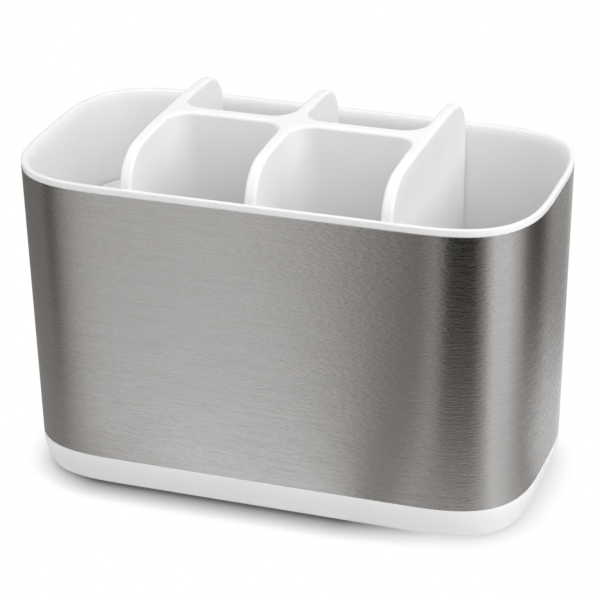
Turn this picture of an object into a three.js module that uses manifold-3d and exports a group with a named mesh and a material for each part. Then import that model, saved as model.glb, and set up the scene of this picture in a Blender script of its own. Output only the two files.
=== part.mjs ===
// Bathroom caddy: a steel sleeve held between a white base and a white liner tub,
// with a lift-out divider standing in the tub. Millimetres, +Z up, front towards -Y.

import * as THREE from 'three';
import Module from 'manifold-3d';
import { mergeVertices } from 'three/addons/utils/BufferGeometryUtils.js';

const wasm = await Module();
wasm.setup();

// Overall sizes of the assembled caddy
const OUTER_WIDTH = 222;      // along X, over the upper edge of the steel
const OUTER_DEPTH = 114;      // along Y, over the upper edge of the steel
const BASE_HEIGHT = 14.2;     // table to the lower edge of the steel
const STEEL_HEIGHT = 121.8;   // lower edge to upper edge of the steel
const RIM_HEIGHT = 3;         // white rim above the upper edge of the steel
const FIN_RISE = 14.7;        // top of the divider above the rim

// Plan outline and draft that every shell follows
const CORNER_REACH = 51.5;    // how far a soft corner runs along each side
const CORNER_POWER = 3.1;     // superellipse exponent, where 2 is a quarter circle
const CORNER_STEPS = 12;      // facets in a corner
const SIDE_DRAFT = 1.24;      // degrees that the sides lean in towards the table

// Steel sleeve
const SHEET_THICKNESS = 0.6;

// Base tray
const PAD_PROUD = 0.8;        // rubber pads stand this far below the base
const BASE_FLOOR = 2.4;       // floor thickness
const BASE_WALL = 2.2;        // side wall thickness
const BASE_BAND = 1.6;        // upright band just below the steel
const BASE_TAPER = 2.5;       // how far the side leans in below the band
const BASE_EDGE_RADIUS = 1.4; // round of the lower edge
const BASE_TOP_ROUND = 0.3;   // round of the upper edge, just below the steel
const COLLAR_HEIGHT = 8;      // collar above the ledge, inside the sleeve
const COLLAR_WALL = 1.6;
const COLLAR_CHAMFER = 0.6;
const COLLAR_GAP = 0.35;      // sleeve to collar
const SOCKET_HEIGHT = 5;      // tubes on the base floor that take the liner's posts
const SOCKET_WALL = 1.8;
const SOCKET_FROM_END = 40;   // socket axis from the end of the caddy
const SOCKET_FROM_SIDE = 27;  // socket axis from the long side of the caddy

// Rubber pads
const PAD_RADIUS = 8;
const PAD_THICKNESS = 2;
const PAD_CHAMFER = 0.4;
const PAD_GAP = 0.2;          // pad edge to the wall of its recess
const PAD_FROM_END = 32;      // pad axis from the end of the caddy
const PAD_FROM_SIDE = 25;     // pad axis from the long side of the caddy

// Liner tub
const LINER_GAP = 0.5;        // sleeve to liner wall
const LINER_WALL = 2.2;
const LINER_FLOOR = 2.4;
const RIM_EDGE_RADIUS = 0.7;  // outer upper edge of the rim
const LIP_DROP = 5;           // height of the rolled inner edge of the rim
const NEST_GAP = 0.4;         // collar to the narrow foot of the liner
const STEP_HEIGHT = 2.4;      // sloping step between the foot and the wall of the liner
const FOOT_RADIUS = 2;        // round under the liner's foot
const FLOOR_FILLET = 4;       // round between the liner's floor and its walls
const POST_RADIUS = 2.5;      // posts under the liner
const POST_GAP = 0.15;        // post to socket wall
const POST_END_GAP = 1;       // post end to base floor
const SEAT_GAP = 0.3;         // liner floor to the top of the sockets

// Divider insert
const LEFT_FIN = -54.4;       // places of the three fins along X
const MIDDLE_FIN = -1.5;
const RIGHT_FIN = 54.7;
const FIN_THICKNESS = 5;
const CROSS_THICKNESS = 6.4;  // wall across the fins
const NOSE_RADIUS = 17;       // round of the fins' upper corners, front and back
const TOP_SLOPE = 5;          // degrees that a fin's top slopes where its nose begins
const JUNCTION_FILLET = 10;   // plan fillet where the cross wall meets a fin
const EDGE_ROUND = 1.5;       // round along the edges of the fins, cross wall and shelf
const FIN_GAP = 0.6;          // fin edge to liner wall
const DIVIDER_SKIN = 1.6;     // walls of the fins, which are cored out from below
const SHELF_DROP = 39.5;      // shelf top below the rim
const SHELF_THICKNESS = 2.5;
const SHELF_SKIRT = 9;        // height of the skirt round the shelf
const SHELF_GAP = 1;          // shelf edge to liner wall
const RIB_REACH = 32;         // gusset ribs under the shelf, along the shelf and down the fin
const RIB_THICKNESS = 2.2;
const RIB_OFFSET = 22;        // rib to the middle of the caddy

// Facets in the rounded edges
const EDGE_STEPS = 2;
const ARC_STEPS = 4;
const NOSE_STEPS = 7;
const TOP_STEPS = 2;
const ROUND_STEPS = 20;

// Heights above the table
const STEEL_TOP = BASE_HEIGHT + STEEL_HEIGHT;
const RIM_TOP = STEEL_TOP + RIM_HEIGHT;
const FIN_TOP = RIM_TOP + FIN_RISE;
const BASE_FLOOR_TOP = PAD_PROUD + BASE_FLOOR;
const COLLAR_TOP = BASE_HEIGHT + COLLAR_HEIGHT;
const LINER_UNDERSIDE = BASE_FLOOR_TOP + SOCKET_HEIGHT + SEAT_GAP;
const LINER_FLOOR_TOP = LINER_UNDERSIDE + LINER_FLOOR;
const STEP_LOW = COLLAR_TOP + NEST_GAP;
const STEP_HIGH = STEP_LOW + STEP_HEIGHT;
const SHELF_TOP = RIM_TOP - SHELF_DROP;

// Insets from the outline at the upper edge of the steel
const draftInset = (z) => (STEEL_TOP - z) * Math.tan(THREE.MathUtils.degToRad(SIDE_DRAFT));
const linerOuterInset = (z) => draftInset(z) + SHEET_THICKNESS + LINER_GAP;
const linerInnerInset = (z) => linerOuterInset(z) + LINER_WALL;
const LEDGE_INSET = draftInset(BASE_HEIGHT);
const COLLAR_OUTER = LEDGE_INSET + SHEET_THICKNESS + COLLAR_GAP;
const COLLAR_INNER = COLLAR_OUTER + COLLAR_WALL;
const FOOT_OUTER = COLLAR_INNER + NEST_GAP;
const FOOT_INNER = FOOT_OUTER + LINER_WALL;

// Lift of the inner step that keeps the wall thickness round the 45 degree slope
const STEP_SHIFT = LINER_WALL * Math.tan(Math.PI / 8);

const white = (roughness) => new THREE.MeshStandardMaterial({ color: 0xf3f3f1, roughness, metalness: 0 });
const steel = new THREE.MeshStandardMaterial({ color: 0xa3a3a0, roughness: 0.34, metalness: 1 });
const rubber = () => new THREE.MeshStandardMaterial({ color: 0x8d8d8b, roughness: 0.85, metalness: 0 });

// Solid helpers

function toSolid(geometry) {
  const bare = geometry.clone();
  bare.deleteAttribute('normal');
  bare.deleteAttribute('uv');
  const merged = mergeVertices(bare, 1e-5);
  return new wasm.Manifold(new wasm.Mesh({
    numProp: 3,
    vertProperties: new Float32Array(merged.attributes.position.array),
    triVerts: new Uint32Array(merged.index.array),
  }));
}

function toGeometry(solid) {
  const mesh = solid.getMesh();
  const geometry = new THREE.BufferGeometry();
  geometry.setAttribute('position', new THREE.BufferAttribute(mesh.vertProperties, 3));
  geometry.setIndex(new THREE.BufferAttribute(mesh.triVerts, 1));
  geometry.computeVertexNormals();
  return geometry;
}

function named(name, geometry, material) {
  const mesh = new THREE.Mesh(geometry, material);
  mesh.name = name;
  return mesh;
}

function uprightCylinder(radius, low, high, x, y) {
  const geometry = new THREE.CylinderGeometry(radius, radius, high - low, ROUND_STEPS);
  geometry.rotateX(Math.PI / 2);
  geometry.translate(x, y, (low + high) / 2);
  return toSolid(geometry);
}

function boxBetween(low, high) {
  const size = high.clone().sub(low);
  const geometry = new THREE.BoxGeometry(size.x, size.y, size.z);
  geometry.translate(...low.clone().add(high).multiplyScalar(0.5).toArray());
  return toSolid(geometry);
}

// Four places that mirror each other in plan, measured in from the ends and the long sides
function mirrored(fromEnd, fromSide) {
  const x = OUTER_WIDTH / 2 - fromEnd;
  const y = OUTER_DEPTH / 2 - fromSide;
  return [[-x, -y], [x, -y], [-x, y], [x, y]];
}

const socketPlaces = () => mirrored(SOCKET_FROM_END, SOCKET_FROM_SIDE);
const padPlaces = () => mirrored(PAD_FROM_END, PAD_FROM_SIDE);

// Outline of the caddy seen from above, moved in by an inset along its normals.
// Each corner is a quarter of a superellipse, so its curvature fades into the sides.
function planOutline(inset) {
  const reach = Math.min(CORNER_REACH, OUTER_DEPTH / 2);
  const centreX = OUTER_WIDTH / 2 - reach;
  const centreY = OUTER_DEPTH / 2 - reach;
  const points = [];
  for (const [signX, signY, reversed] of [[1, 1, false], [-1, 1, true], [-1, -1, false], [1, -1, true]]) {
    for (let i = 0; i <= CORNER_STEPS; i++) {
      const step = reversed ? CORNER_STEPS - i : i;
      const angle = (step / CORNER_STEPS) * (Math.PI / 2);
      const along = step === CORNER_STEPS ? 0 : Math.cos(angle);
      const across = Math.sin(angle);
      const power = 2 / CORNER_POWER;
      const normal = new THREE.Vector2(along ** (2 - power), across ** (2 - power)).normalize();
      const x = centreX + reach * along ** power - inset * normal.x;
      const y = centreY + reach * across ** power - inset * normal.y;
      points.push(new THREE.Vector2(signX * x, signY * y));
    }
  }
  return points;
}

// Sweeps a profile of [inset, height] pairs round the outline. The profile climbs the outside first.
// A closed profile makes a ring; an open one is capped at both ends.
function sweepRound(profile, closed) {
  const rings = profile.map(([inset, z]) => planOutline(inset).map((p) => new THREE.Vector3(p.x, p.y, z)));
  const count = rings[0].length;
  const positions = rings.flat();
  const triangles = [];
  const joins = closed ? rings.length : rings.length - 1;
  for (let j = 0; j < joins; j++) {
    const lower = j * count;
    const upper = ((j + 1) % rings.length) * count;
    for (let i = 0; i < count; i++) {
      const next = (i + 1) % count;
      triangles.push(lower + i, lower + next, upper + next);
      triangles.push(lower + i, upper + next, upper + i);
    }
  }
  if (!closed) {
    const last = (rings.length - 1) * count;
    const lowCentre = positions.push(new THREE.Vector3(0, 0, profile[0][1])) - 1;
    const highCentre = positions.push(new THREE.Vector3(0, 0, profile[profile.length - 1][1])) - 1;
    for (let i = 0; i < count; i++) {
      const next = (i + 1) % count;
      triangles.push(lowCentre, next, i);
      triangles.push(highCentre, last + i, last + next);
    }
  }
  const geometry = new THREE.BufferGeometry();
  geometry.setFromPoints(positions);
  geometry.setIndex(triangles);
  geometry.computeVertexNormals();
  return geometry;
}

// Points of an elliptical quarter in a profile, from one end to the other.
// The first end is tangent to the height axis when startsUpright is true.
function quarter(from, to, steps, startsUpright) {
  const points = [];
  for (let i = 0; i <= steps; i++) {
    const angle = (i / steps) * (Math.PI / 2);
    const late = 1 - Math.cos(angle);
    const early = Math.sin(angle);
    const insetShare = startsUpright ? late : early;
    const heightShare = startsUpright ? early : late;
    points.push([from[0] + (to[0] - from[0]) * insetShare, from[1] + (to[1] - from[1]) * heightShare]);
  }
  return points;
}

// Steel sleeve: a thin tapering band, open at both ends
function makeSleeve() {
  const profile = [
    [draftInset(BASE_HEIGHT), BASE_HEIGHT],
    [draftInset(STEEL_TOP), STEEL_TOP],
    [draftInset(STEEL_TOP) + SHEET_THICKNESS, STEEL_TOP],
    [draftInset(BASE_HEIGHT) + SHEET_THICKNESS, BASE_HEIGHT],
  ];
  return named('steel_sleeve', sweepRound(profile, true), steel);
}

// Side of the base tray: a band in line with the steel, then a taper that ends in a rounded lower edge
function baseSide() {
  const bandBottom = new THREE.Vector2(LEDGE_INSET, BASE_HEIGHT - BASE_BAND);
  const taperBottom = new THREE.Vector2(LEDGE_INSET + BASE_TAPER, PAD_PROUD + BASE_EDGE_RADIUS);
  const shoulder = new THREE.Vector2(LEDGE_INSET, (bandBottom.y + taperBottom.y) / 2 + BASE_BAND);
  const taper = new THREE.QuadraticBezierCurve(taperBottom, shoulder, bandBottom).getPoints(ARC_STEPS);
  const lowest = [taperBottom.x + BASE_EDGE_RADIUS, PAD_PROUD];
  const edge = quarter(lowest, [taperBottom.x, taperBottom.y], EDGE_STEPS, false);
  const upper = [[LEDGE_INSET, BASE_HEIGHT - BASE_TOP_ROUND], [LEDGE_INSET + BASE_TOP_ROUND, BASE_HEIGHT]];
  return [...edge, ...taper.slice(1).map((p) => [p.x, p.y]), ...upper];
}

// Base tray: ledge for the sleeve, collar inside it, sockets for the liner and recesses for the pads
function makeBase() {
  const floorInset = LEDGE_INSET + BASE_TAPER + BASE_WALL;
  const profile = [
    ...baseSide(),
    [COLLAR_OUTER, BASE_HEIGHT],
    [COLLAR_OUTER, COLLAR_TOP - COLLAR_CHAMFER],
    [COLLAR_OUTER + COLLAR_CHAMFER, COLLAR_TOP],
    [COLLAR_INNER, COLLAR_TOP],
    [COLLAR_INNER, LINER_UNDERSIDE],
    [floorInset, BASE_FLOOR_TOP + BASE_EDGE_RADIUS],
    [floorInset + BASE_EDGE_RADIUS, BASE_FLOOR_TOP],
  ];
  let tray = toSolid(sweepRound(profile, false));
  const boreRadius = POST_RADIUS + POST_GAP;
  const socketRadius = boreRadius + SOCKET_WALL;
  const socketTop = BASE_FLOOR_TOP + SOCKET_HEIGHT;
  const socketRoot = BASE_FLOOR_TOP - BASE_FLOOR / 2;
  for (const [x, y] of socketPlaces()) {
    tray = tray.add(uprightCylinder(socketRadius, socketRoot, socketTop, x, y));
    tray = tray.subtract(uprightCylinder(boreRadius, BASE_FLOOR_TOP, socketTop + SEAT_GAP, x, y));
  }
  for (const [x, y] of padPlaces()) {
    tray = tray.subtract(uprightCylinder(PAD_RADIUS + PAD_GAP, 0, PAD_THICKNESS, x, y));
  }
  return named('base_tray', toGeometry(tray), white(0.5));
}

// Rubber pad: a disc with a chamfered lower edge, let into the base
function makePad(name, x, y) {
  const profile = [
    new THREE.Vector2(0, 0),
    new THREE.Vector2(PAD_RADIUS - PAD_CHAMFER, 0),
    new THREE.Vector2(PAD_RADIUS, PAD_CHAMFER),
    new THREE.Vector2(PAD_RADIUS, PAD_THICKNESS),
    new THREE.Vector2(0, PAD_THICKNESS),
  ];
  const geometry = new THREE.LatheGeometry(profile, ROUND_STEPS);
  geometry.rotateX(Math.PI / 2);
  const pad = named(name, toGeometry(toSolid(geometry)), rubber());
  pad.position.set(x, y, 0);
  return pad;
}

// Liner tub: a narrow foot inside the collar, drafted walls and a rim that turns out over the steel
function makeLiner() {
  const lipBottom = RIM_TOP - LIP_DROP;
  const rimEdge = [RIM_EDGE_RADIUS, RIM_TOP];
  const footBottom = [FOOT_OUTER + FOOT_RADIUS, LINER_UNDERSIDE];
  const footSide = [FOOT_OUTER, LINER_UNDERSIDE + FOOT_RADIUS];
  const filletTop = [FOOT_INNER, LINER_FLOOR_TOP + FLOOR_FILLET];
  const filletBottom = [FOOT_INNER + FLOOR_FILLET, LINER_FLOOR_TOP];
  const profile = [
    ...quarter(footBottom, footSide, EDGE_STEPS, false),
    [FOOT_OUTER, STEP_LOW],
    [linerOuterInset(STEP_HIGH), STEP_HIGH],
    [linerOuterInset(STEEL_TOP), STEEL_TOP],
    [0, STEEL_TOP],
    ...quarter([0, RIM_TOP - RIM_EDGE_RADIUS], rimEdge, EDGE_STEPS, true),
    ...quarter(rimEdge, [linerInnerInset(lipBottom), lipBottom], ARC_STEPS, false).slice(1),
    [linerInnerInset(STEP_HIGH + STEP_SHIFT), STEP_HIGH + STEP_SHIFT],
    [FOOT_INNER, STEP_LOW + STEP_SHIFT],
    ...quarter(filletTop, filletBottom, ARC_STEPS, true),
  ];
  let tub = toSolid(sweepRound(profile, false));
  const postEnd = BASE_FLOOR_TOP + POST_END_GAP;
  const postRoot = LINER_UNDERSIDE + LINER_FLOOR / 2;
  for (const [x, y] of socketPlaces()) {
    tub = tub.add(uprightCylinder(POST_RADIUS, postEnd, postRoot, x, y));
  }
  return named('liner_tub', toGeometry(tub), white(0.32));
}

// Half depth of a fin at a height, which follows the liner's wall
const finReach = (z) => OUTER_DEPTH / 2 - linerInnerInset(z) - FIN_GAP;

// Points of a circular arc about a centre, from one angle to another
function arcPoints(x, y, radius, from, to, steps) {
  return new THREE.EllipseCurve(x, y, radius, radius, from, to).getPoints(steps);
}

// Side view of a fin, in depth and height, drawn in by an inset all round except at its foot.
// Its top is level over the cross wall, then falls along a wide arc that turns into the nose.
function finOutline(inset, foot) {
  const footReach = OUTER_DEPTH / 2 - FOOT_INNER - FIN_GAP - inset;
  const stepTop = STEP_HIGH + STEP_SHIFT;
  const steepest = Math.PI / 2 - THREE.MathUtils.degToRad(TOP_SLOPE);
  const levelEnd = CROSS_THICKNESS / 2 + JUNCTION_FILLET + EDGE_ROUND;
  const noseDepth = finReach(FIN_TOP - NOSE_RADIUS) - NOSE_RADIUS;
  const topRadius = NOSE_RADIUS + (noseDepth - levelEnd) / Math.cos(steepest);
  const topCentre = FIN_TOP - topRadius;
  const noseHeight = topCentre + (topRadius - NOSE_RADIUS) * Math.sin(steepest);
  const right = [
    new THREE.Vector2(footReach - FLOOR_FILLET, foot),
    new THREE.Vector2(footReach, foot + FLOOR_FILLET),
    new THREE.Vector2(footReach, STEP_LOW + STEP_SHIFT),
    new THREE.Vector2(finReach(stepTop) - inset, stepTop),
    ...arcPoints(noseDepth, noseHeight, NOSE_RADIUS - inset, 0, steepest, NOSE_STEPS),
    ...arcPoints(levelEnd, topCentre, topRadius - inset, steepest, Math.PI / 2, TOP_STEPS).slice(1),
  ];
  const left = right.map((p) => new THREE.Vector2(-p.x, p.y)).reverse();
  return new THREE.Shape([...right, ...left]);
}

// Extrudes a side view along X about a place, with rounded edges where round is above zero
function extrudeAcross(shape, thickness, round, x) {
  const geometry = new THREE.ExtrudeGeometry(shape, {
    depth: thickness - 2 * round,
    bevelEnabled: round > 0,
    bevelThickness: round,
    bevelSize: round,
    bevelOffset: -round,
    bevelSegments: EDGE_STEPS,
  });
  geometry.translate(0, 0, round - thickness / 2);
  const axes = new THREE.Matrix4().makeBasis(
    new THREE.Vector3(0, 1, 0),
    new THREE.Vector3(0, 0, 1),
    new THREE.Vector3(1, 0, 0),
  );
  geometry.applyMatrix4(axes);
  geometry.translate(x, 0, 0);
  return toSolid(geometry);
}

// Extrudes a plan shape between two heights, with rounded edges where round is above zero
function extrudeUp(shape, low, high, round) {
  const geometry = new THREE.ExtrudeGeometry(shape, {
    depth: high - low - 2 * round,
    bevelEnabled: round > 0,
    bevelThickness: round,
    bevelSize: round,
    bevelOffset: -round,
    bevelSegments: EDGE_STEPS,
    curveSegments: ARC_STEPS,
  });
  geometry.translate(0, 0, low + round);
  return toSolid(geometry);
}

// Plan of the wall across the fins, drawn in by an inset, with a fillet at each corner where they meet
function crossPlan(inset) {
  const halfFin = FIN_THICKNESS / 2 - inset;
  const fillet = JUNCTION_FILLET + inset;
  const wide = CROSS_THICKNESS / 2 + JUNCTION_FILLET;
  const leftEnd = LEFT_FIN - halfFin / 2;
  const rightEnd = RIGHT_FIN + halfFin / 2;
  const bays = [[LEFT_FIN, MIDDLE_FIN], [MIDDLE_FIN, RIGHT_FIN]];
  const shape = new THREE.Shape();
  shape.moveTo(leftEnd, -wide);
  for (const [left, right] of bays) {
    shape.lineTo(left + halfFin, -wide);
    shape.absarc(left + halfFin + fillet, -wide, fillet, Math.PI, Math.PI / 2, true);
    shape.absarc(right - halfFin - fillet, -wide, fillet, Math.PI / 2, 0, true);
  }
  shape.lineTo(rightEnd, -wide);
  shape.lineTo(rightEnd, wide);
  for (const [left, right] of bays.reverse()) {
    shape.lineTo(right - halfFin, wide);
    shape.absarc(right - halfFin - fillet, wide, fillet, 0, -Math.PI / 2, true);
    shape.absarc(left + halfFin + fillet, wide, fillet, -Math.PI / 2, -Math.PI, true);
  }
  shape.lineTo(leftEnd, wide);
  return shape;
}

// Shelf in the left-hand bay: an upturned shallow tray with gusset ribs down the side fin
function makeShelf() {
  const edgeInset = linerInnerInset(SHELF_TOP) + SHELF_GAP;
  const skirtBottom = SHELF_TOP - SHELF_SKIRT;
  const underside = SHELF_TOP - SHELF_THICKNESS;
  const outside = extrudeUp(new THREE.Shape(planOutline(edgeInset)), skirtBottom, SHELF_TOP, EDGE_ROUND);
  const hollowPlan = new THREE.Shape(planOutline(edgeInset + SHELF_THICKNESS));
  const hollow = extrudeUp(hollowPlan, skirtBottom - SHELF_SKIRT, underside, 0);
  const leftBay = boxBetween(
    new THREE.Vector3(-OUTER_WIDTH, -OUTER_DEPTH, 0),
    new THREE.Vector3(LEFT_FIN, OUTER_DEPTH, FIN_TOP),
  );
  let shelf = outside.subtract(hollow).intersect(leftBay);
  const overlap = SHELF_THICKNESS / 2;
  const ribEnd = LEFT_FIN - FIN_THICKNESS / 2 - RIB_REACH;
  const ribShape = new THREE.Shape([
    new THREE.Vector2(LEFT_FIN, underside + overlap),
    new THREE.Vector2(ribEnd, underside + overlap),
    new THREE.Vector2(ribEnd, underside - overlap),
    new THREE.Vector2(LEFT_FIN, underside - RIB_REACH),
  ]);
  for (const y of [-RIB_OFFSET, RIB_OFFSET]) {
    const rib = new THREE.ExtrudeGeometry(ribShape, { depth: RIB_THICKNESS, bevelEnabled: false });
    rib.rotateX(Math.PI / 2);
    rib.translate(0, y + RIB_THICKNESS / 2, 0);
    shelf = shelf.add(toSolid(rib));
  }
  return shelf;
}

// Divider insert: three fins, the wall across them and the shelf, cored out from below as one moulding
function makeDivider() {
  const fins = [LEFT_FIN, MIDDLE_FIN, RIGHT_FIN];
  let insert = extrudeUp(crossPlan(0), LINER_FLOOR_TOP, FIN_TOP, EDGE_ROUND);
  for (const x of fins) {
    insert = insert.add(extrudeAcross(finOutline(0, LINER_FLOOR_TOP), FIN_THICKNESS, EDGE_ROUND, x));
  }
  insert = insert.add(makeShelf());
  const coreFoot = LINER_FLOOR_TOP - FLOOR_FILLET;
  const coreThickness = FIN_THICKNESS - 2 * DIVIDER_SKIN;
  for (const x of fins) {
    insert = insert.subtract(extrudeAcross(finOutline(DIVIDER_SKIN, coreFoot), coreThickness, 0, x));
  }
  const crossCoreTop = FIN_TOP - DIVIDER_SKIN - EDGE_ROUND;
  insert = insert.subtract(extrudeUp(crossPlan(DIVIDER_SKIN), coreFoot, crossCoreTop, 0));
  return named('divider_insert', toGeometry(insert), white(0.4));
}

const caddy = new THREE.Group();
caddy.add(makeBase());
caddy.add(makeSleeve());
caddy.add(makeLiner());
caddy.add(makeDivider());
const padNames = ['front_left', 'front_right', 'back_left', 'back_right'];
padPlaces().forEach(([x, y], i) => caddy.add(makePad(`foot_pad_${padNames[i]}`, x, y)));

export default caddy;
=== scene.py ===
"""Bathroom caddy in Blender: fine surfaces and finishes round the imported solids, on a plain studio stage.

Metres, +Z up, front towards -Y. Each piece keeps the place and size of the solid that it stands for.
"""

import math

import bmesh
import bpy
from mathutils import Matrix, Vector


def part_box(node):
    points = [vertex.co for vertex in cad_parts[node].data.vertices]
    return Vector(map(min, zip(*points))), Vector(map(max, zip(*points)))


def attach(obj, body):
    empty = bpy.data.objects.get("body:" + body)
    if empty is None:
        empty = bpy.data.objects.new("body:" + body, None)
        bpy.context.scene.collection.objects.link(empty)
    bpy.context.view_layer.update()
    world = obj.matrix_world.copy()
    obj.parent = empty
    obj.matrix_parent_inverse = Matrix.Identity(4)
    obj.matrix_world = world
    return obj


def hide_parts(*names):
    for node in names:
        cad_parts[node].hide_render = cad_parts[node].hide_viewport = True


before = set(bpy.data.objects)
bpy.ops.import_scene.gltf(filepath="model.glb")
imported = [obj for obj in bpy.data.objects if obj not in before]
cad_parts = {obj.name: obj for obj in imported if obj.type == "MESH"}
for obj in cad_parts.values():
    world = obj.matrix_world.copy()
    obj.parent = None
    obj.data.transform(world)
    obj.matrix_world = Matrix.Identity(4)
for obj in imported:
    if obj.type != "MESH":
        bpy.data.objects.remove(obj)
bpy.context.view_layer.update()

# Sizes taken from the imported solids

BASE_LOW, BASE_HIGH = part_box("base_tray")
SLEEVE_LOW, SLEEVE_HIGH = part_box("steel_sleeve")
LINER_LOW, LINER_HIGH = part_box("liner_tub")
DIVIDER_LOW, DIVIDER_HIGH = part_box("divider_insert")

HALF_WIDTH = SLEEVE_HIGH.x        # over the upper edge of the steel
HALF_DEPTH = SLEEVE_HIGH.y
UNDERSIDE = BASE_LOW.z            # underside of the base, above the table
LEDGE = SLEEVE_LOW.z              # ledge of the base that carries the steel
COLLAR_TOP = BASE_HIGH.z
STEEL_TOP = SLEEVE_HIGH.z
RIM_TOP = LINER_HIGH.z
POST_END = LINER_LOW.z
LINER_FLOOR_TOP = DIVIDER_LOW.z
FIN_TOP = DIVIDER_HIGH.z

# Plan outline and draft that every shell follows

CORNER_REACH = 0.0515             # how far a soft corner runs along each side
CORNER_POWER = 3.1                # superellipse exponent, where 2 is a quarter circle
CORNER_STEPS = 40
SIDE_DRAFT = math.radians(1.24)   # lean of the sides towards the table

# Wall thicknesses, gaps and rounds

SHEET = 0.0006                    # steel
SHEET_EDGE = 0.00012              # broken edges of the steel
PLASTIC_WALL = 0.0022
PLASTIC_FLOOR = 0.0024
SLEEVE_GAP = 0.0005               # steel to liner
COLLAR_GAP = 0.00035              # steel to collar
COLLAR_WALL = 0.0016
COLLAR_CHAMFER = 0.0006
NEST_GAP = 0.0004                 # collar to the foot of the liner
SEAT_GAP = 0.0003                 # liner floor to the top of the sockets
STEP_HEIGHT = 0.0024              # sloping step between the foot and the wall of the liner

BASE_BAND = 0.0016                # upright band of the base just below the steel
BASE_TAPER = 0.0025               # how far the side of the base leans in below the band
BASE_EDGE = 0.0014                # round of the base's lower edge
LEDGE_ROUND = 0.0003              # round of the base's upper edge
RIM_ROUND = 0.0007                # round of the rim's outer upper edge
RIM_LEAN = 0.00025                # how far the rim's outer face leans in towards the steel
RIM_LAND = 0.0014                 # inset at which the rim's level top ends
RIM_STEP = 0.00025                # small step down just inside the level top
LIP_DROP = 0.0058                 # height of the rolled inner edge of the rim
FOOT_ROUND = 0.002                # round under the liner's foot
FLOOR_FILLET = 0.004              # round between the liner's floor and its walls

SOCKET_HEIGHT = 0.005
SOCKET_WALL = 0.0018
SOCKET_PLACE = (0.071, 0.030)
POST_RADIUS = 0.0025
POST_GAP = 0.00015
PAD_DEPTH = 0.002                 # depth of the recess over each rubber pad, from the table
PAD_GAP = 0.0002
PAD_ROUND = 0.0004

FIN_PLACES = (-0.0544, -0.0015, 0.0547)   # along X, from the shelf's side
FIN_THICKNESS = 0.005
CROSS_THICKNESS = 0.0064
NOSE_RADIUS = 0.017               # round of the fins' upper corners
TOP_SLOPE = math.radians(5)       # slope of a fin's top where its nose begins
JUNCTION_FILLET = 0.010           # plan fillet where the cross wall meets a fin
FIN_EDGE = 0.0015                 # round along the edges of the fins and the cross wall
CORE_EDGE = 0.0004                # the same inside, where the fins are cored out
FIN_GAP = 0.0006
DIVIDER_SKIN = 0.0016             # walls of the fins, which are cored out from below
SHELF_DROP = 0.0395               # shelf top below the rim
SHELF_THICKNESS = 0.0025
SHELF_SKIRT = 0.009
SHELF_GAP = 0.001
RIB_REACH = 0.032
RIB_THICKNESS = 0.0022
RIB_OFFSET = 0.022

# Heights and insets worked out from the sizes above

BASE_FLOOR_TOP = UNDERSIDE + PLASTIC_FLOOR
LINER_UNDERSIDE = LINER_FLOOR_TOP - PLASTIC_FLOOR
STEP_LOW = COLLAR_TOP + NEST_GAP
STEP_HIGH = STEP_LOW + STEP_HEIGHT
STEP_SHIFT = PLASTIC_WALL * math.tan(math.pi / 8)
SHELF_TOP = RIM_TOP - SHELF_DROP


def draft_inset(z):
    """How far the steel's outside lies in from its upper edge at a height."""
    return (STEEL_TOP - z) * math.tan(SIDE_DRAFT)


def liner_outer(z):
    return draft_inset(z) + SHEET + SLEEVE_GAP


def liner_inner(z):
    return liner_outer(z) + PLASTIC_WALL


LEDGE_INSET = draft_inset(LEDGE)
COLLAR_OUTER = LEDGE_INSET + SHEET + COLLAR_GAP
COLLAR_INNER = COLLAR_OUTER + COLLAR_WALL
FOOT_OUTER = COLLAR_INNER + NEST_GAP
FOOT_INNER = FOOT_OUTER + PLASTIC_WALL

# Mesh helpers


def corner_points(sign_x, sign_y, inset):
    """One soft corner of the outline, from its end on the short side to its end on the long side."""
    power = 2 / CORNER_POWER
    points = []
    for step in range(CORNER_STEPS + 1):
        angle = step / CORNER_STEPS * math.pi / 2
        along = max(0.0, math.cos(angle))
        across = max(0.0, math.sin(angle))
        normal = Vector((along ** (2 - power), across ** (2 - power))).normalized()
        x = HALF_WIDTH - CORNER_REACH * (1 - along ** power) - inset * normal.x
        y = HALF_DEPTH - CORNER_REACH * (1 - across ** power) - inset * normal.y
        points.append((sign_x * x, sign_y * y))
    return points


def plan_outline(inset):
    """The caddy's outline seen from above, counter-clockwise, moved in by an inset."""
    back_right = corner_points(1, 1, inset)
    back_left = corner_points(-1, 1, inset)[::-1]
    front_left = corner_points(-1, -1, inset)
    front_right = corner_points(1, -1, inset)[::-1]
    return back_right + back_left + front_left + front_right


def circle_outline(radius, centre, steps=48):
    turns = [2 * math.pi * step / steps for step in range(steps)]
    return [(centre[0] + radius * math.cos(t), centre[1] + radius * math.sin(t)) for t in turns]


def at_height(outline, z):
    return [(x, y, z) for x, y in outline]


def quarter(start, end, steps, starts_upright):
    """Points of an elliptical quarter in a profile of insets and heights."""
    points = []
    for step in range(steps + 1):
        angle = step / steps * math.pi / 2
        late = 1 - math.cos(angle)
        early = math.sin(angle)
        inset_share = late if starts_upright else early
        height_share = early if starts_upright else late
        inset = start[0] + (end[0] - start[0]) * inset_share
        height = start[1] + (end[1] - start[1]) * height_share
        points.append((inset, height))
    return points


def add_object(name, mesh):
    piece = bpy.data.objects.new(name, mesh)
    bpy.context.scene.collection.objects.link(piece)
    return piece


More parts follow.
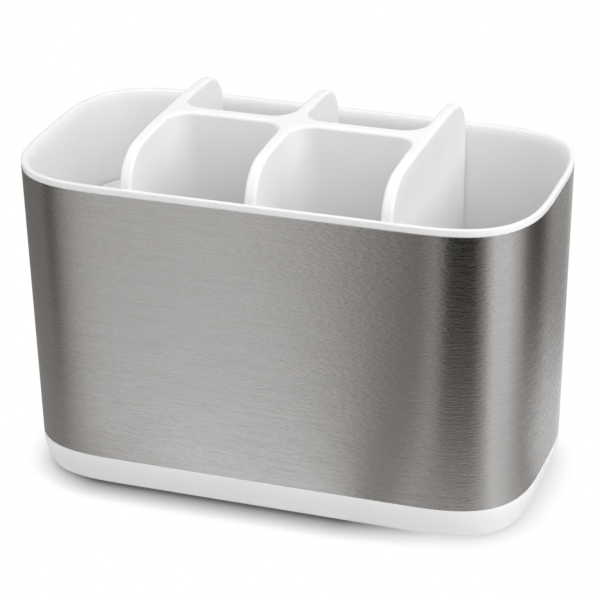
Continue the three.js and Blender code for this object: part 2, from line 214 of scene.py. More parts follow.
def skin_rings(name, rings, closed=False, capped=True):
    """A mesh through rings of points. It closes on itself, or is capped by its first and last rings."""
    shape = bmesh.new()
    loops = [[shape.verts.new(point) for point in ring] for ring in rings]
    pairs = list(zip(loops, loops[1:]))
    if closed:
        pairs.append((loops[-1], loops[0]))
    for lower, upper in pairs:
        for i, vertex in enumerate(lower):
            following = (i + 1) % len(lower)
            shape.faces.new((vertex, lower[following], upper[following], upper[i]))
    if capped and not closed:
        shape.faces.new(loops[0][::-1])
        shape.faces.new(loops[-1])
    if closed or capped:
        bmesh.ops.recalc_face_normals(shape, faces=shape.faces)
    mesh = bpy.data.meshes.new(name)
    shape.to_mesh(mesh)
    shape.free()
    return add_object(name, mesh)


def sweep_profile(name, profile, closed=False):
    """Sweeps a profile of insets and heights round the caddy's outline."""
    return skin_rings(name, [at_height(plan_outline(inset), z) for inset, z in profile], closed)


def cylinder(name, radius, low, high, centre):
    return skin_rings(name, [at_height(circle_outline(radius, centre), z) for z in (low, high)])


def combine(piece, tool, operation):
    """Joins a tool solid to a piece, or cuts it out, and removes the tool."""
    change = piece.modifiers.new(operation.lower(), "BOOLEAN")
    change.solver = "MANIFOLD"
    change.operation = operation
    change.object = tool
    result = bpy.data.meshes.new_from_object(piece.evaluated_get(bpy.context.evaluated_depsgraph_get()))
    piece.modifiers.clear()
    piece.data = result
    bpy.data.objects.remove(tool)


def smooth(piece, crease_degrees=35):
    """Smooth shading that keeps creases sharp and large faces flat."""
    piece.data.shade_smooth()
    piece.data.set_sharp_from_angle(angle=math.radians(crease_degrees))
    weighting = piece.modifiers.new("flat_faces", "WEIGHTED_NORMAL")
    weighting.keep_sharp = True
    return piece


def four_places(place):
    x, y = place
    return [(-x, -y), (x, -y), (-x, y), (x, y)]


# Steel sleeve


def steel_sleeve():
    """A thin tapering band, open at both ends, with its sheared edges broken."""
    low, high = LEDGE, STEEL_TOP
    bottom, top = draft_inset(low), draft_inset(high)
    profile = [
        (bottom + SHEET_EDGE, low),
        (bottom, low + SHEET_EDGE),
        (top, high - SHEET_EDGE),
        (top + SHEET_EDGE, high),
        (top + SHEET - SHEET_EDGE, high),
        (top + SHEET, high - SHEET_EDGE),
        (bottom + SHEET, low + SHEET_EDGE),
        (bottom + SHEET - SHEET_EDGE, low),
    ]
    return smooth(sweep_profile("steel_band", profile, closed=True))


# Base tray


def base_side():
    """Profile of the base's side, from its underside up to the ledge."""
    taper_low = Vector((LEDGE_INSET + BASE_TAPER, UNDERSIDE + BASE_EDGE))
    band_low = Vector((LEDGE_INSET, LEDGE - BASE_BAND))
    shoulder = Vector((LEDGE_INSET, (band_low.y + taper_low.y) / 2 + BASE_BAND))
    profile = quarter((taper_low.x + BASE_EDGE, UNDERSIDE), tuple(taper_low), 6, False)
    steps = 10
    for step in range(1, steps + 1):
        share = step / steps
        start = taper_low.lerp(shoulder, share)
        profile.append(tuple(start.lerp(shoulder.lerp(band_low, share), share)))
    ledge_edge = (LEDGE_INSET + LEDGE_ROUND, LEDGE)
    return profile + quarter((LEDGE_INSET, LEDGE - LEDGE_ROUND), ledge_edge, 4, True)


def base_tray():
    """Base with a ledge for the steel, a collar inside it, sockets for the liner and pad recesses."""
    floor_inset = LEDGE_INSET + BASE_TAPER + PLASTIC_WALL
    round_top = (floor_inset, BASE_FLOOR_TOP + BASE_EDGE)
    round_end = (floor_inset + BASE_EDGE, BASE_FLOOR_TOP)
    profile = base_side() + [
        (COLLAR_OUTER, LEDGE),
        (COLLAR_OUTER, COLLAR_TOP - COLLAR_CHAMFER),
        (COLLAR_OUTER + COLLAR_CHAMFER, COLLAR_TOP),
        (COLLAR_INNER, COLLAR_TOP),
        (COLLAR_INNER, LINER_UNDERSIDE),
    ]
    profile += quarter(round_top, round_end, 4, True)
    tray = sweep_profile("base_shell", profile)
    bore = POST_RADIUS + POST_GAP
    socket_top = BASE_FLOOR_TOP + SOCKET_HEIGHT
    socket_root = BASE_FLOOR_TOP - PLASTIC_FLOOR / 2
    for place in four_places(SOCKET_PLACE):
        combine(tray, cylinder("socket", bore + SOCKET_WALL, socket_root, socket_top, place), "UNION")
        combine(tray, cylinder("bore", bore, BASE_FLOOR_TOP, socket_top + SEAT_GAP, place), "DIFFERENCE")
    for node in PAD_NODES:
        centre, radius = pad_place(node)
        combine(tray, cylinder("recess", radius + PAD_GAP, 0, PAD_DEPTH, centre), "DIFFERENCE")
    return smooth(tray)


# Rubber pads

PAD_NODES = ["foot_pad_" + place for place in ("front_left", "front_right", "back_left", "back_right")]


def pad_place(node):
    low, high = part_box(node)
    return ((low.x + high.x) / 2, (low.y + high.y) / 2), (high.x - low.x) / 2


def rubber_pad(node):
    """A disc with a rounded lower edge, let into the base."""
    centre, radius = pad_place(node)
    low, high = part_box(node)
    profile = quarter((radius - PAD_ROUND, low.z), (radius, low.z + PAD_ROUND), 5, False)
    profile += [(radius, high.z - PAD_ROUND / 2), (radius - PAD_ROUND / 2, high.z)]
    rings = [at_height(circle_outline(r, centre), z) for r, z in profile]
    return smooth(skin_rings(node.replace("foot_pad", "rubber_pad"), rings))


# Liner tub


def liner_tub():
    """Tub with a narrow foot inside the collar, drafted walls and a rim that turns out over the steel."""
    lip_low = RIM_TOP - LIP_DROP
    foot_side = (FOOT_OUTER, LINER_UNDERSIDE + FOOT_ROUND)
    profile = quarter((FOOT_OUTER + FOOT_ROUND, LINER_UNDERSIDE), foot_side, 5, False)
    profile += [
        (FOOT_OUTER, STEP_LOW),
        (liner_outer(STEP_HIGH), STEP_HIGH),
        (liner_outer(STEEL_TOP), STEEL_TOP),
        (RIM_LEAN, STEEL_TOP),
    ]
    profile += quarter((0.0, RIM_TOP - RIM_ROUND), (RIM_ROUND, RIM_TOP), 6, True)
    profile.append((RIM_LAND, RIM_TOP))
    roll_start = (RIM_LAND + RIM_STEP / 2, RIM_TOP - RIM_STEP)
    profile += quarter(roll_start, (liner_inner(lip_low), lip_low), 12, False)
    profile += [
        (liner_inner(STEP_HIGH + STEP_SHIFT), STEP_HIGH + STEP_SHIFT),
        (FOOT_INNER, STEP_LOW + STEP_SHIFT),
    ]
    fillet_top = (FOOT_INNER, LINER_FLOOR_TOP + FLOOR_FILLET)
    profile += quarter(fillet_top, (FOOT_INNER + FLOOR_FILLET, LINER_FLOOR_TOP), 8, True)
    tub = sweep_profile("liner_shell", profile)
    post_root = LINER_UNDERSIDE + PLASTIC_FLOOR / 2
    for place in four_places(SOCKET_PLACE):
        combine(tub, cylinder("post", POST_RADIUS, POST_END, post_root, place), "UNION")
    return smooth(tub)


# Divider insert

END_STEPS = 6
FILLET_STEPS = 14
NOSE_STEPS = 22
TOP_STEPS = 10


def fin_reach(z):
    """Half depth of a fin at a height. It follows the liner's wall, step and floor fillet."""
    wall = HALF_DEPTH - liner_inner(z) - FIN_GAP
    foot = HALF_DEPTH - FOOT_INNER - FIN_GAP
    step_low = STEP_LOW + STEP_SHIFT
    step_high = STEP_HIGH + STEP_SHIFT
    if z >= step_high:
        return wall
    if z >= step_low:
        share = (z - step_low) / (step_high - step_low)
        high_reach = HALF_DEPTH - liner_inner(step_high) - FIN_GAP
        return foot + (high_reach - foot) * share
    rise = min(z - LINER_FLOOR_TOP, FLOOR_FILLET)
    return foot - FLOOR_FILLET + math.sqrt(FLOOR_FILLET ** 2 - (FLOOR_FILLET - rise) ** 2)


# Side view of a fin's top: level over the cross wall, then a wide arc that turns into the nose
LEVEL_HALF = CROSS_THICKNESS / 2 + JUNCTION_FILLET + FIN_EDGE
NOSE_DEPTH = fin_reach(FIN_TOP - NOSE_RADIUS) - NOSE_RADIUS
TOP_RADIUS = NOSE_RADIUS + (NOSE_DEPTH - LEVEL_HALF) / math.sin(TOP_SLOPE)
TOP_CENTRE = FIN_TOP - TOP_RADIUS
NOSE_CENTRE = TOP_CENTRE + (TOP_RADIUS - NOSE_RADIUS) * math.cos(TOP_SLOPE)


def fin_end(z, inset):
    """Depth of a fin's end at a height, drawn in by an inset: its upright edge, its nose or its top's arc."""
    nose = NOSE_RADIUS - inset
    if z <= NOSE_CENTRE:
        return fin_reach(z) - inset
    if z <= NOSE_CENTRE + nose * math.cos(TOP_SLOPE):
        return NOSE_DEPTH + math.sqrt(nose ** 2 - (z - NOSE_CENTRE) ** 2)
    square = (TOP_RADIUS - inset) ** 2 - (z - TOP_CENTRE) ** 2
    return LEVEL_HALF + math.sqrt(max(0.0, square))


def fin_tip(fin, z, inset, edge, turn):
    """Front end of a fin at a height, from its left face to its right one, with both edges rounded."""
    half_fin = FIN_THICKNESS / 2 - inset
    angles = [turn * (step / END_STEPS - 1) for step in range(END_STEPS + 1)]
    left = [(-1, angle) for angle in angles]
    right = [(1, -angle) for angle in angles[::-1]]
    points = []
    for side, angle in left + right:
        across = side * (half_fin - edge) + edge * math.sin(angle)
        depth = fin_end(z, inset + edge * (1 - math.cos(angle)))
        points.append((fin + across, -depth))
    return points


def bay_fillets(left_fin, right_fin, inset):
    """Both fillets at the front of the cross wall between two neighbouring fins, from left to right."""
    fillet = JUNCTION_FILLET + inset
    reach = FIN_THICKNESS / 2 + JUNCTION_FILLET
    wide = CROSS_THICKNESS / 2 + JUNCTION_FILLET
    points = []
    for centre, first in ((left_fin + reach, 2), (right_fin - reach, 1)):
        for step in range(FILLET_STEPS + 1):
            angle = (first - step / FILLET_STEPS) * math.pi / 2
            points.append((centre + fillet * math.cos(angle), fillet * math.sin(angle) - wide))
    return points


def divider_slice(z, inset):
    """Plan of the divider at a height: three fins and the wall across them, drawn in by an inset."""
    edge = CORE_EDGE if inset else FIN_EDGE
    drop = min(FIN_TOP - inset - z, edge)
    turn = math.acos(min(1.0, max(0.0, (edge - drop) / edge)))
    top_inset = edge * (1 - math.sin(turn))
    front = []
    for i, fin in enumerate(FIN_PLACES):
        if i > 0:
            front += bay_fillets(FIN_PLACES[i - 1], fin, inset + top_inset)
        front += fin_tip(fin, z, inset, edge, turn)
    return front + [(x, -y) for x, y in front[::-1]]


def divider_heights(inset):
    """Heights at which the divider is sliced, from its foot to its top."""
    foot_steps = 6
    foot = [LINER_FLOOR_TOP + FLOOR_FILLET * (1 - math.cos(step / foot_steps * math.pi / 2))
            for step in range(foot_steps + 1)]
    nose_turn = math.pi / 2 - TOP_SLOPE
    nose = [NOSE_CENTRE + (NOSE_RADIUS - inset) * math.sin(step / NOSE_STEPS * nose_turn)
            for step in range(NOSE_STEPS + 1)]
    top = [TOP_CENTRE + (TOP_RADIUS - inset) * math.cos((1 - step / TOP_STEPS) * TOP_SLOPE)
           for step in range(1, TOP_STEPS + 1)]
    return foot + [STEP_LOW + STEP_SHIFT, STEP_HIGH + STEP_SHIFT] + nose + top


def shelf_outline(inset, cut):
    """Outline of the left-hand bay up to a cut across the caddy."""
    side = HALF_DEPTH - inset
    back_left = corner_points(-1, 1, inset)[::-1]
    front_left = corner_points(-1, -1, inset)
    return [(cut, side)] + back_left + front_left + [(cut, -side)]


def shelf():
    """An upturned shallow tray in the left-hand bay, with its upper edge rounded."""
    edge_inset = liner_inner(SHELF_TOP) + SHELF_GAP
    skirt_low = SHELF_TOP - SHELF_SKIRT
    hollow_top = SHELF_TOP - SHELF_THICKNESS
    fin_face = FIN_PLACES[0] - FIN_THICKNESS / 2
    cut = fin_face + DIVIDER_SKIN / 2
    hollow_cut = fin_face + DIVIDER_SKIN / 8
    hollow_inset = edge_inset + SHELF_THICKNESS
    rings = [
        at_height(shelf_outline(hollow_inset, hollow_cut), hollow_top),
        at_height(shelf_outline(hollow_inset, hollow_cut), skirt_low),
        at_height(shelf_outline(edge_inset, cut), skirt_low),
    ]
    for inset, z in quarter((edge_inset, SHELF_TOP - FIN_EDGE), (edge_inset + FIN_EDGE, SHELF_TOP), 6, True):
        rings.append(at_height(shelf_outline(inset, cut), z))
    return skin_rings("shelf", rings)


def shelf_rib(y):
    """A gusset under the shelf, against the side fin."""
    fin_face = FIN_PLACES[0] - FIN_THICKNESS / 2
    root = fin_face + DIVIDER_SKIN / 2
    far = fin_face - RIB_REACH
    under = SHELF_TOP - SHELF_THICKNESS
    overlap = SHELF_THICKNESS / 2
    side_view = [
        (root, under + overlap),
        (far, under + overlap),
        (far, under - overlap),
        (root, under - RIB_REACH),
    ]
    faces = (y - RIB_THICKNESS / 2, y + RIB_THICKNESS / 2)
    return skin_rings("rib", [[(x, depth, z) for x, z in side_view] for depth in faces])


def divider_insert():
    """Three fins, the wall across them and the shelf, cored out from below as one moulding."""
    core = [at_height(divider_slice(z, DIVIDER_SKIN), z) for z in divider_heights(DIVIDER_SKIN)]
    outside = [at_height(divider_slice(z, 0.0), z) for z in divider_heights(0.0)]
    insert = skin_rings("divider_shell", core[::-1] + outside)
    combine(insert, shelf(), "UNION")
    for y in (-RIB_OFFSET, RIB_OFFSET):
        combine(insert, shelf_rib(y), "UNION")
    return smooth(insert)


# Node helpers


def place_node(tree, kind, inputs=None, **settings):
    """Adds a node. Each input takes a plain value or the output of another node."""
    node = tree.nodes.new(kind)
    for setting, value in settings.items():
        setattr(node, setting, value)
    for name, value in (inputs or {}).items():
        if isinstance(value, bpy.types.NodeSocket):
            tree.links.new(value, node.inputs[name])
        else:
            node.inputs[name].default_value = value
    return node


def calculate(tree, operation, first, second=0.0):
    return place_node(tree, "ShaderNodeMath", {0: first, 1: second}, operation=operation).outputs[0]


def remap(tree, value, from_low, from_high, to_low, to_high):
    limits = {"From Min": from_low, "From Max": from_high, "To Min": to_low, "To Max": to_high}
    return place_node(tree, "ShaderNodeMapRange", {"Value": value, **limits}).outputs["Result"]


def spread(tree, noise, to_low, to_high):
    """Remaps the range in which most values of a noise lie."""
    return remap(tree, noise, 0.3, 0.7, to_low, to_high)


def blend_colours(tree, share, first, second):
    """A colour between two others. Sockets 6 and 7 are the Mix node's colour inputs, 2 its colour output."""
    inputs = {0: share, 6: first, 7: second}
    return place_node(tree, "ShaderNodeMix", inputs, data_type="RGBA").outputs[2]


def stretched_noise(tree, position, size, detail):
    """Noise whose features have the given size in metres along each axis."""
    scale = tuple(1 / length for length in size)
    stretched = place_node(tree, "ShaderNodeVectorMath", {0: position, 1: scale}, operation="MULTIPLY")
    inputs = {"Vector": stretched.outputs[0], "Scale": 1.0, "Detail": detail}
    return place_node(tree, "ShaderNodeTexNoise", inputs).outputs["Fac"]


def new_group(name, inputs, outputs):
    """An empty shader node group with named value sockets. Returns it with its input and output nodes."""
    group = bpy.data.node_groups.new(name, "ShaderNodeTree")
    for socket_name, value in inputs.items():
        socket = group.interface.new_socket(socket_name, in_out="INPUT", socket_type="NodeSocketFloat")
        socket.default_value = value
    for socket_name in outputs:
        group.interface.new_socket(socket_name, in_out="OUTPUT", socket_type="NodeSocketFloat")
    return group, group.nodes.new("NodeGroupInput"), group.nodes.new("NodeGroupOutput")


def use_group(tree, group, inputs):
    node = tree.nodes.new("ShaderNodeGroup")
    node.node_tree = group
    for name, value in inputs.items():
        node.inputs[name].default_value = value
    return node


# Shared surface effects

FINE_STROKE = (0.0028, 0.0028, 0.00045)   # sizes of brush strokes along X, Y and Z
BROAD_STROKE = (0.016, 0.016, 0.0010)
PEBBLE = (0.0007, 0.0007, 0.0007)         # sizes of the moulded skin's features
SWELL = (0.006, 0.006, 0.006)
TONE_DRIFT = (0.05, 0.05, 0.05)


def brushed_grain_group():
    """Level brush strokes round an upright band: short fine ones over long faint ones."""
    group, given, result = new_group("brushed_grain", {"Fine Share": 0.6}, ["Strokes"])
    position = place_node(group, "ShaderNodeTexCoord").outputs["Object"]
    fine = stretched_noise(group, position, FINE_STROKE, 2.0)
    broad = stretched_noise(group, position, BROAD_STROKE, 2.0)
    fine_part = calculate(group, "MULTIPLY", fine, given.outputs["Fine Share"])
    broad_share = calculate(group, "SUBTRACT", 1.0, given.outputs["Fine Share"])
    broad_part = calculate(group, "MULTIPLY", broad, broad_share)
    strokes = calculate(group, "ADD", fine_part, broad_part)
    group.links.new(strokes, result.inputs["Strokes"])
    return group


def moulded_skin_group():
    """Skin of a moulded plastic: a fine spark-eroded pebble and a slow drift in tone."""
    group, given, result = new_group("moulded_skin", {"Pebble Share": 0.7}, ["Pebble", "Tone"])
    position = place_node(group, "ShaderNodeTexCoord").outputs["Object"]
    pebble = stretched_noise(group, position, PEBBLE, 2.0)
    swell = stretched_noise(group, position, SWELL, 1.0)
    tone = stretched_noise(group, position, TONE_DRIFT, 3.0)
    pebble_part = calculate(group, "MULTIPLY", pebble, given.outputs["Pebble Share"])
    swell_share = calculate(group, "SUBTRACT", 1.0, given.outputs["Pebble Share"])
    swell_part = calculate(group, "MULTIPLY", swell, swell_share)
    skin = calculate(group, "ADD", pebble_part, swell_part)
    group.links.new(skin, result.inputs["Pebble"])
    group.links.new(tone, result.inputs["Tone"])
    return group


# Finishes

STEEL_DARK = (0.504, 0.497, 0.491, 1)
STEEL_LIGHT = (0.552, 0.544, 0.537, 1)
STEEL_ROUGHNESS = (0.34, 0.20)    # between the strokes and on them
STROKE_HEIGHT = 0.0002
LINER_WHITE = (0.900, 0.894, 0.899)
DIVIDER_WHITE = (0.930, 0.924, 0.928)
BASE_WHITE = (0.906, 0.900, 0.904)
RUBBER_DARK = (0.24, 0.24, 0.235, 1)
RUBBER_LIGHT = (0.31, 0.31, 0.305, 1)
RUBBER_GRAIN = 0.00008
DARKER_TONE = 0.97                # darkest tone of a white plastic, as a share of its colour
ROUGHNESS_DRIFT = 0.05            # how far a white plastic's roughness strays to either side


def new_finish(name):
    finish = bpy.data.materials.new(name)
    finish.use_nodes = True
    tree = finish.node_tree
    tree.nodes.clear()
    surface = tree.nodes.new("ShaderNodeBsdfPrincipled")
    output = tree.nodes.new("ShaderNodeOutputMaterial")
    tree.links.new(surface.outputs["BSDF"], output.inputs["Surface"])
    return finish, tree, surface


def bump(tree, surface, height, distance, strength):
    inputs = {"Height": height, "Distance": distance, "Strength": strength}
    tree.links.new(place_node(tree, "ShaderNodeBump", inputs).outputs["Normal"], surface.inputs["Normal"])


def brushed_steel(grain_group):
    """Stainless steel brushed level, so that reflections stretch up and down."""
    finish, tree, surface = new_finish("brushed_steel")
    grain = use_group(tree, grain_group, {"Fine Share": 0.6})
    strokes = grain.outputs["Strokes"]
    streak = spread(tree, strokes, 0.0, 1.0)
    colour = blend_colours(tree, streak, STEEL_DARK, STEEL_LIGHT)
    tree.links.new(colour, surface.inputs["Base Color"])
    roughness = spread(tree, strokes, *STEEL_ROUGHNESS)
    tree.links.new(roughness, surface.inputs["Roughness"])
    surface.inputs["Metallic"].default_value = 1.0
    surface.inputs["Anisotropic"].default_value = 0.95
    surface.inputs["Anisotropic Rotation"].default_value = 0.25
    tangent = place_node(tree, "ShaderNodeTangent", direction_type="RADIAL", axis="Z")
    tree.links.new(tangent.outputs["Tangent"], surface.inputs["Tangent"])
    bump(tree, surface, strokes, STROKE_HEIGHT, 0.9)
    return finish


def white_plastic(name, skin_group, colour, roughness, pebble_height):
    """Opaque white moulding with a fine skin."""
    finish, tree, surface = new_finish(name)
    skin = use_group(tree, skin_group, {"Pebble Share": 0.7})
    darker = tuple(channel * DARKER_TONE for channel in colour)
    tone = spread(tree, skin.outputs["Tone"], 0.0, 1.0)
    tree.links.new(blend_colours(tree, tone, (*darker, 1), (*colour, 1)), surface.inputs["Base Color"])
    pebble = skin.outputs["Pebble"]
    sheen = spread(tree, pebble, roughness - ROUGHNESS_DRIFT, roughness + ROUGHNESS_DRIFT)
    tree.links.new(sheen, surface.inputs["Roughness"])
    surface.inputs["IOR"].default_value = 1.49
    bump(tree, surface, pebble, pebble_height, 0.35)
    return finish


def pad_rubber(skin_group):
    finish, tree, surface = new_finish("pad_rubber")
    skin = use_group(tree, skin_group, {"Pebble Share": 0.5})
    tone = spread(tree, skin.outputs["Pebble"], 0.0, 1.0)
    colour = blend_colours(tree, tone, RUBBER_DARK, RUBBER_LIGHT)
    tree.links.new(colour, surface.inputs["Base Color"])
    surface.inputs["Roughness"].default_value = 0.85
    surface.inputs["Specular IOR Level"].default_value = 0.3
    bump(tree, surface, skin.outputs["Pebble"], RUBBER_GRAIN, 0.5)
    return finish


# Stage: floor with a painted contact shadow, surroundings that the steel mirrors, lamps and world

FLOOR_SIZE = 14.0
FLOOR_SINK = 0.0001               # floor below the pads, so that no faces coincide
# The contact shadow is painted: the floor's glow darkens where the ambient occlusion node finds the object
# near. It is deepest about the middle and fades towards both ends.
SHADOW_REACH = 0.019              # how far the object's contact shadow spreads
SHADOW_DEPTH = 0.88               # how dark it is under the edge of the base
SHADOW_END_DEPTH = 0.28           # the same under its far ends, where the shadow is narrower as well
SHADOW_MIDDLE = -0.02             # place along X where it is deepest, from which it fades to both ends
SHADOW_FADE = 0.055               # distance from there at which it begins to fade
SHADOW_DEPTH_END = 0.095          # distances at which its depth and its width have faded
SHADOW_WIDTH_END = 0.10
SHADOW_OPEN = (0.88, 0.74)        # open share of the sky at its outer edge, in the middle and at the ends
SHADOW_CLOSED = 0.35              # open share at which it is deepest
FLOOR_GREY = (0.85, 0.85, 0.85, 1)
WORLD_FILL = 0.15


def seen_directly(tree):
    """1 for rays from the camera, from gloss and through glass, which see the white background."""
    path = tree.nodes.new("ShaderNodeLightPath")
    seen = calculate(tree, "MAXIMUM", path.outputs["Is Camera Ray"], path.outputs["Is Glossy Ray"])
    return calculate(tree, "MAXIMUM", seen, path.outputs["Is Transmission Ray"])


def floor_with_painted_shadow():
    half = FLOOR_SIZE / 2
    corners = [(-half, -half), (half, -half), (half, half), (-half, half)]
    mesh = bpy.data.meshes.new("floor")
    mesh.from_pydata(at_height(corners, -FLOOR_SINK), [], [(0, 1, 2, 3)])
    floor = add_object("floor", mesh)
    finish = bpy.data.materials.new("floor_painted_shadow")
    finish.use_nodes = True
    tree = finish.node_tree
    tree.nodes.clear()
    place = place_node(tree, "ShaderNodeTexCoord").outputs["Object"]
    along = place_node(tree, "ShaderNodeSeparateXYZ", {0: place}).outputs["X"]
    off_middle = calculate(tree, "ABSOLUTE", calculate(tree, "SUBTRACT", along, SHADOW_MIDDLE))
    open_share = remap(tree, off_middle, SHADOW_FADE, SHADOW_WIDTH_END, *SHADOW_OPEN)
    depth = remap(tree, off_middle, SHADOW_FADE, SHADOW_DEPTH_END, SHADOW_DEPTH, SHADOW_END_DEPTH)
    # Painted shadow: ambient occlusion darkens the glow that the camera and gloss see, not lamps blocked by
    # the object.
    near = place_node(tree, "ShaderNodeAmbientOcclusion", {"Distance": SHADOW_REACH}, samples=16)
    shade = remap(tree, near.outputs["AO"], open_share, SHADOW_CLOSED, 0.0, depth)
    lit = calculate(tree, "SUBTRACT", 1.0, shade)
    glow = place_node(tree, "ShaderNodeEmission", {"Color": lit, "Strength": 1.0})
    matte = place_node(tree, "ShaderNodeBsdfDiffuse", {"Color": FLOOR_GREY})
    parts = {0: seen_directly(tree), 1: matte.outputs[0], 2: glow.outputs[0]}
    mixed = place_node(tree, "ShaderNodeMixShader", parts)
    output = tree.nodes.new("ShaderNodeOutputMaterial")
    tree.links.new(mixed.outputs[0], output.inputs["Surface"])
    mesh.materials.append(finish)


TENT_CENTRE = (0.057, -0.0055)    # plan centre of the front right corner, which shows most of the tent
TENT_PROFILE = [(0.02, 0.0002), (0.20, 0.0003), (0.30, 0.03), (0.38, 0.12), (0.42, 0.25), (0.44, 0.6)]
TENT_FAR = 0.19                   # distance from the object at which the cards have their outer brightness
TENT_WARMTH = (1.0, 1.04, 1.08)   # powers of the brightness for red, green and blue: dark cards are warmer
TENT_CARDS = [                    # degrees from the front, positive to the right, outer and inner brightness
    (-180, 0.90, 1.00),
    (-165, 0.36, 0.80),
    (-150, 0.20, 0.42),
    (-72, 0.24, 0.36),
    (-65, 0.06, 0.58),
    (-54, 0.47, 1.05),
    (-46, 0.64, 0.99),
    (-29, 0.77, 0.92),
    (-22, 0.59, 0.77),
    (-14, 0.23, 0.42),
    (-7, 0.15, 0.42),
    (-5, 0.34, 0.46),
    (1.5, 0.40, 0.64),
    (5, 0.00, 0.52),
    (31, 0.00, 0.56),
    (43, 0.30, 0.70),
    (54, 0.88, 0.88),
    (78, 0.93, 0.62),
    (96, 0.60, 0.50),
    (112, 0.17, 0.74),
    (134, 0.06, 0.94),
    (150, 0.29, 1.18),
    (165, 0.68, 1.34),
    (180, 0.90, 1.00),
]


def card_ramp(tree, bearing, brightness):
    """Brightness round the tent from a list of bearings in degrees and their brightness."""
    share = remap(tree, bearing, -math.pi, math.pi, 0.0, 1.0)
    cards = place_node(tree, "ShaderNodeValToRGB", {"Fac": share})
    stops = cards.color_ramp.elements
    while len(stops) < len(brightness):
        stops.new(0.5)
    for stop, (degrees, level) in zip(stops, brightness):
        stop.position = (degrees + 180) / 360
        stop.color = (level, level, level, 1)
    return cards.outputs["Color"]


def outside_distance(tree, axes):
    """Distance in plan from the caddy's outline, whose corners are taken as round here."""
    beyond = []
    for name, half in (("X", HALF_WIDTH), ("Y", HALF_DEPTH)):
        off_middle = calculate(tree, "ABSOLUTE", axes.outputs[name])
        past_straight = calculate(tree, "SUBTRACT", off_middle, half - CORNER_REACH)
        beyond.append(calculate(tree, "MAXIMUM", past_straight, 0.0))
    plan = place_node(tree, "ShaderNodeCombineXYZ", {"X": beyond[0], "Y": beyond[1]})
    length = place_node(tree, "ShaderNodeVectorMath", {0: plan.outputs[0]}, operation="LENGTH")
    return calculate(tree, "SUBTRACT", length.outputs["Value"], CORNER_REACH)


def light_tent():
    """Grey and white cards round the object. Only its gloss mirrors them, so they aren't sampled as lamps."""
    steps = 72
    rings = [at_height(circle_outline(radius, TENT_CENTRE, steps), z) for radius, z in TENT_PROFILE]
    tent = skin_rings("light_tent", rings, capped=False)
    finish = bpy.data.materials.new("tent_cards")
    finish.cycles.emission_sampling = "NONE"
    finish.use_nodes = True
    tree = finish.node_tree
    tree.nodes.clear()
    position = place_node(tree, "ShaderNodeTexCoord").outputs["Object"]
    axes = place_node(tree, "ShaderNodeSeparateXYZ", {0: position})
    rightward = calculate(tree, "SUBTRACT", axes.outputs["X"], TENT_CENTRE[0])
    forward = calculate(tree, "SUBTRACT", TENT_CENTRE[1], axes.outputs["Y"])
    bearing = calculate(tree, "ARCTAN2", rightward, forward)
    outer = card_ramp(tree, bearing, [(degrees, far) for degrees, far, near in TENT_CARDS])
    inner = card_ramp(tree, bearing, [(degrees, near) for degrees, far, near in TENT_CARDS])
    reach = {"Value": outside_distance(tree, axes), "From Max": TENT_FAR}
    far_share = place_node(tree, "ShaderNodeMapRange", reach, interpolation_type="SMOOTHSTEP")
    cards = blend_colours(tree, far_share.outputs["Result"], inner, outer)
    channels = [calculate(tree, "POWER", cards, power) for power in TENT_WARMTH]
    warm = place_node(tree, "ShaderNodeCombineColor", dict(enumerate(channels)))
    glow = place_node(tree, "ShaderNodeEmission", {"Color": warm.outputs["Color"], "Strength": 1.0})
    output = tree.nodes.new("ShaderNodeOutputMaterial")
    tree.links.new(glow.outputs[0], output.inputs["Surface"])
    tent.data.materials.append(finish)
    tent.visible_camera = False
    tent.visible_diffuse = False
    tent.visible_shadow = False
    tent.visible_transmission = False
    tent.visible_volume_scatter = False


def soft_lamp(name, place, size, power):
    """A square soft box aimed at the middle of the object. Gloss mirrors the tent instead."""
    lamp = bpy.data.lights.new(name, "AREA")
    lamp.size = size
    lamp.energy = power
    stand = add_object(name, lamp)
    stand.location = place
    aim = Vector((0, 0, RIM_TOP / 2)) - Vector(place)
    stand.rotation_mode = "QUATERNION"
    stand.rotation_quaternion = aim.to_track_quat("-Z", "Y")
    stand.visible_glossy = False


def studio_world():
    world = bpy.data.worlds.new("studio")
    bpy.context.scene.world = world
    world.use_nodes = True
    tree = world.node_tree
    tree.nodes.clear()
    fill = place_node(tree, "ShaderNodeBackground", {"Color": (1, 1, 1, 1), "Strength": WORLD_FILL})
    white = place_node(tree, "ShaderNodeBackground", {"Color": (1, 1, 1, 1), "Strength": 1.0})
    parts = {0: seen_directly(tree), 1: fill.outputs[0], 2: white.outputs[0]}
    mixed = place_node(tree, "ShaderNodeMixShader", parts)
    output = tree.nodes.new("ShaderNodeOutputWorld")
    tree.links.new(mixed.outputs[0], output.inputs["Surface"])


LAMPS = [                         # name, place, size of the soft box and power
    ("lamp_over", (0.1, -0.1, 1.3), 1.1, 2.0),
    ("lamp_key", (0.6, -0.6, 1.1), 0.9, 4.9),
    ("lamp_right", (1.2, -0.2, 0.8), 0.9, 9.8),
    ("lamp_left", (-1.0, -0.3, 0.8), 0.9, 6.4),
    ("lamp_front", (0.0, -1.0, 0.9), 0.9, 2.2),
    ("lamp_back", (0.0, 0.9, 1.0), 0.9, 3.8),
]


def studio():
    floor_with_painted_shadow()
    light_tent()
    studio_world()
    for lamp in LAMPS:
        soft_lamp(*lamp)


# Camera at the photograph's viewing angle

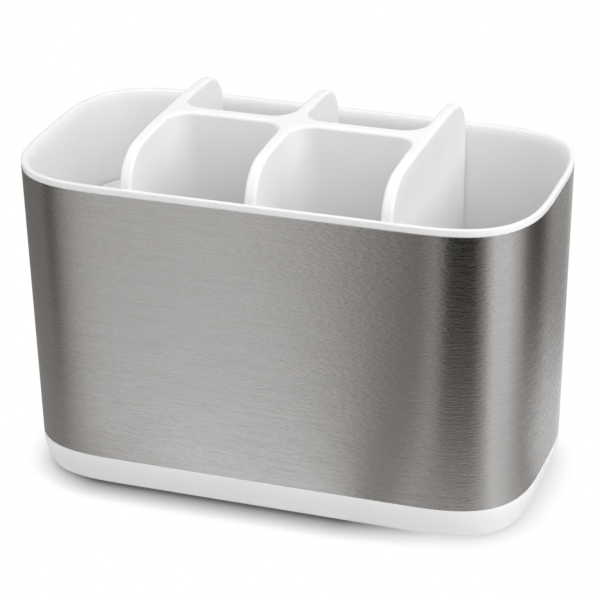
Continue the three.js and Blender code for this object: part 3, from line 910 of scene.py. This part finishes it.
CAMERA_AZIMUTH = math.radians(19.42)
CAMERA_ELEVATION = math.radians(25.0)
CAMERA_ROLL = math.radians(-0.83)
CAMERA_DISTANCE = 1.0535
CAMERA_TARGET = Vector((0, 0, 0.07944))
CAMERA_LENS = 150.49
CAMERA_SHIFT = (0.0019, -0.0240)


def photo_camera():
    data = bpy.data.cameras.new("camera")
    data.sensor_width = 36.0
    data.lens = CAMERA_LENS
    data.shift_x, data.shift_y = CAMERA_SHIFT
    camera = add_object("camera", data)
    level = math.cos(CAMERA_ELEVATION)
    back = Vector((
        math.sin(CAMERA_AZIMUTH) * level,
        -math.cos(CAMERA_AZIMUTH) * level,
        math.sin(CAMERA_ELEVATION),
    ))
    level_right = Vector((math.cos(CAMERA_AZIMUTH), math.sin(CAMERA_AZIMUTH), 0))
    level_up = back.cross(level_right)
    right = level_right * math.cos(CAMERA_ROLL) + level_up * math.sin(CAMERA_ROLL)
    up = level_up * math.cos(CAMERA_ROLL) - level_right * math.sin(CAMERA_ROLL)
    turn = Matrix((right, up, back)).transposed().to_4x4()
    camera.matrix_world = Matrix.Translation(CAMERA_TARGET + back * CAMERA_DISTANCE) @ turn
    bpy.context.scene.camera = camera


# Assembly


def dress(piece, body, slot, finish, *nodes):
    """Gives a piece its finish, hangs it on its body's empty and hides the solids that it stands for."""
    piece.data.materials.clear()
    piece.data.materials.append(finish)
    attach(piece, body)
    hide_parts(*nodes)


def caddy():
    grain = brushed_grain_group()
    skin = moulded_skin_group()
    liner_finish = white_plastic("liner_white", skin, LINER_WHITE, roughness=0.38, pebble_height=0.00003)
    divider_finish = white_plastic("divider_white", skin, DIVIDER_WHITE, roughness=0.46, pebble_height=0.00003)
    base_finish = white_plastic("base_white", skin, BASE_WHITE, roughness=0.62, pebble_height=0.000015)
    rubber = pad_rubber(skin)
    dress(steel_sleeve(), "sleeve", "sleeve_steel", brushed_steel(grain), "steel_sleeve")
    dress(liner_tub(), "liner", "liner_white", liner_finish, "liner_tub")
    dress(divider_insert(), "divider", "divider_white", divider_finish, "divider_insert")
    dress(base_tray(), "base", "base_white", base_finish, "base_tray")
    for node in PAD_NODES:
        dress(rubber_pad(node), "base", "pad_rubber", rubber, node)


photo_camera()
studio()
caddy()
bpy.context.scene.view_settings.view_transform = "Standard"
